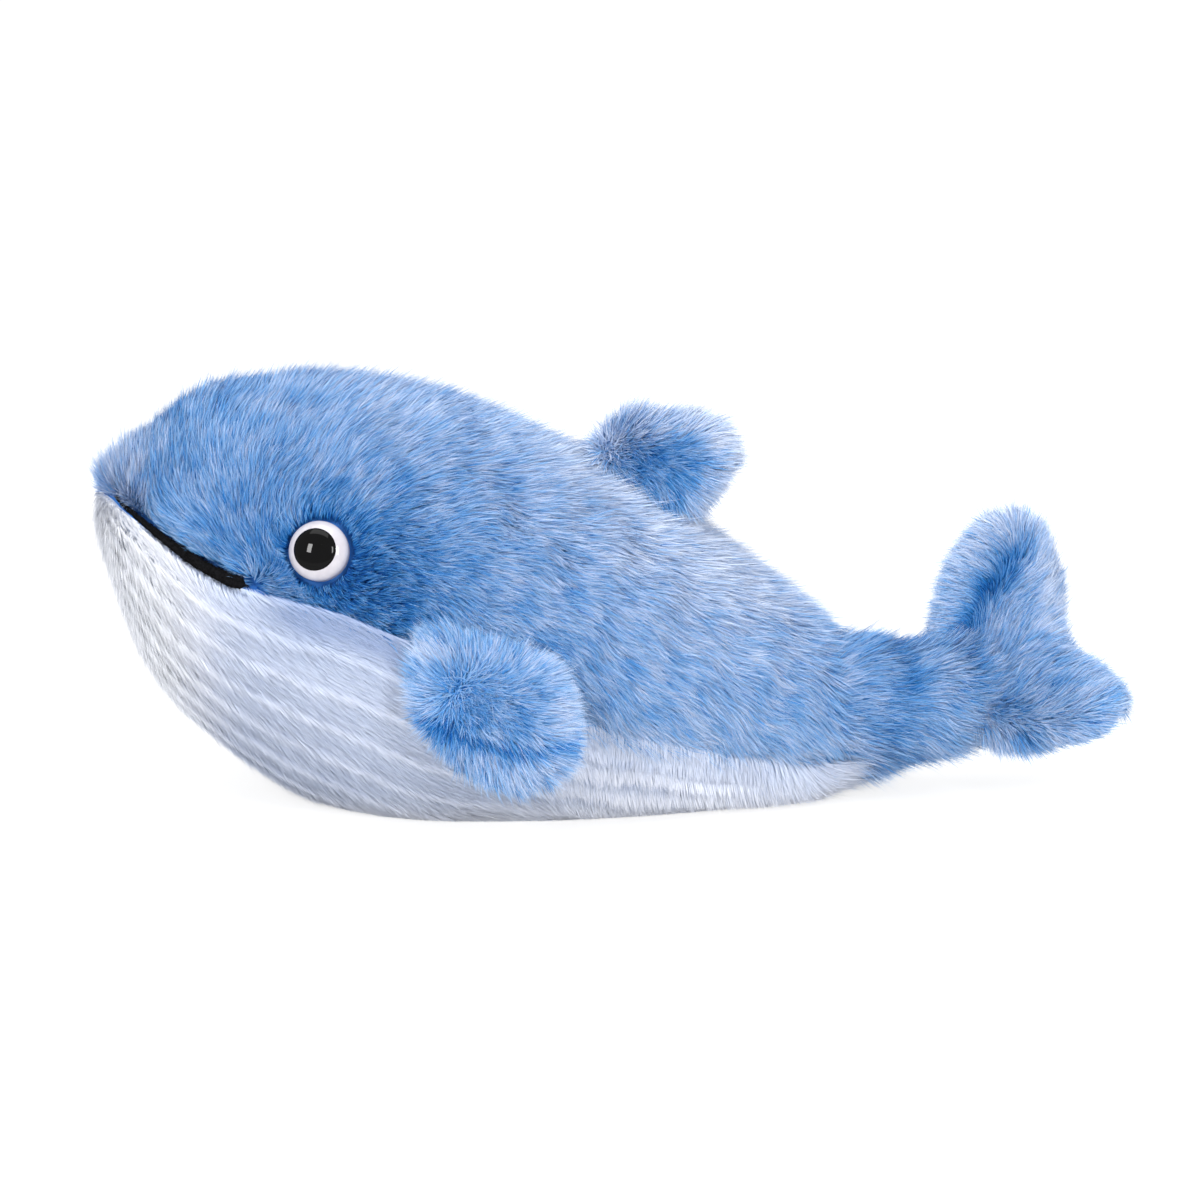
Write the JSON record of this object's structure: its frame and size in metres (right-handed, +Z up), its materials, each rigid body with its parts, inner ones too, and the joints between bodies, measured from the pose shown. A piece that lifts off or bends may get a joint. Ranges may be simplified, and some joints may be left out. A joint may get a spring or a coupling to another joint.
{
  "type": "plush whale",
  "caption": "Plush whale lying on its belly: shaggy fur, pleated pale belly, domed safety eyes, lifting flippers, swaying back fin and bending two-lobed tail.",
  "frame": {"origin": "middle of the flat patch of the belly that the whale rests on", "axes": "+X from the nose towards the tail, +Z up, so -Y is the whale's left side, the side that the picture shows"},
  "size_m": [0.3045, 0.167, 0.1259],
  "materials": {
    "fur_blue": "matte",
    "fur_white": "matte",
    "stuffing": "matte",
    "piping": "matte",
    "eye_white": "gloss",
    "eye_black": "gloss",
    "washer": "satin"
  },
  "bodies": {
    "body": {"back_left_panel": "fur_blue", "back_right_panel": "fur_blue", "belly_panel": "fur_white", "body_filling": "stuffing", "mouth_piping": "piping", "eye_left_white": "eye_white", "eye_left_pupil": "eye_black", "eye_left_washer": "washer", "eye_right_white": "eye_white", "eye_right_pupil": "eye_black", "eye_right_washer": "washer"},
    "flipper_left": {"flipper_left_outer_panel": "fur_blue", "flipper_left_inner_panel": "fur_blue", "flipper_left_filling": "stuffing"},
    "flipper_right": {"flipper_right_outer_panel": "fur_blue", "flipper_right_inner_panel": "fur_blue", "flipper_right_filling": "stuffing"},
    "dorsal_fin": {"dorsal_fin_left_panel": "fur_blue", "dorsal_fin_right_panel": "fur_blue", "dorsal_fin_filling": "stuffing"},
    "tail": {"tail_stalk_panel": "fur_blue", "tail_stalk_filling": "stuffing", "fluke_upper_panel": "fur_blue", "fluke_lower_panel": "fur_blue", "fluke_filling": "stuffing"}
  },
  "joints": [
    {"name": "flipper_left_lift", "type": "hinge", "parent": "body", "child": "flipper_left", "pos_m": [-0.0192, -0.06614, 0.05672], "axis": [-0.9684, -0.0533, 0.2434], "range_deg": [0, 80]},
    {"name": "flipper_right_lift", "type": "hinge", "parent": "body", "child": "flipper_right", "pos_m": [-0.0192, 0.06614, 0.05672], "axis": [0.9684, -0.0533, -0.2434], "range_deg": [0, 80]},
    {"name": "dorsal_fin_sway", "type": "hinge", "parent": "body", "child": "dorsal_fin", "pos_m": [0.02936, 0, 0.10441], "axis": [0.8542, 0, -0.52], "range_deg": [-20, 20], "stiffness_Nm_per_rad": 0.05},
    {"name": "tail_bend", "type": "hinge", "parent": "body", "child": "tail", "pos_m": [0.11501, 0, 0.02745], "axis": [0, -1, 0], "range_deg": [-15, 20], "stiffness_Nm_per_rad": 0.5}
  ]
}
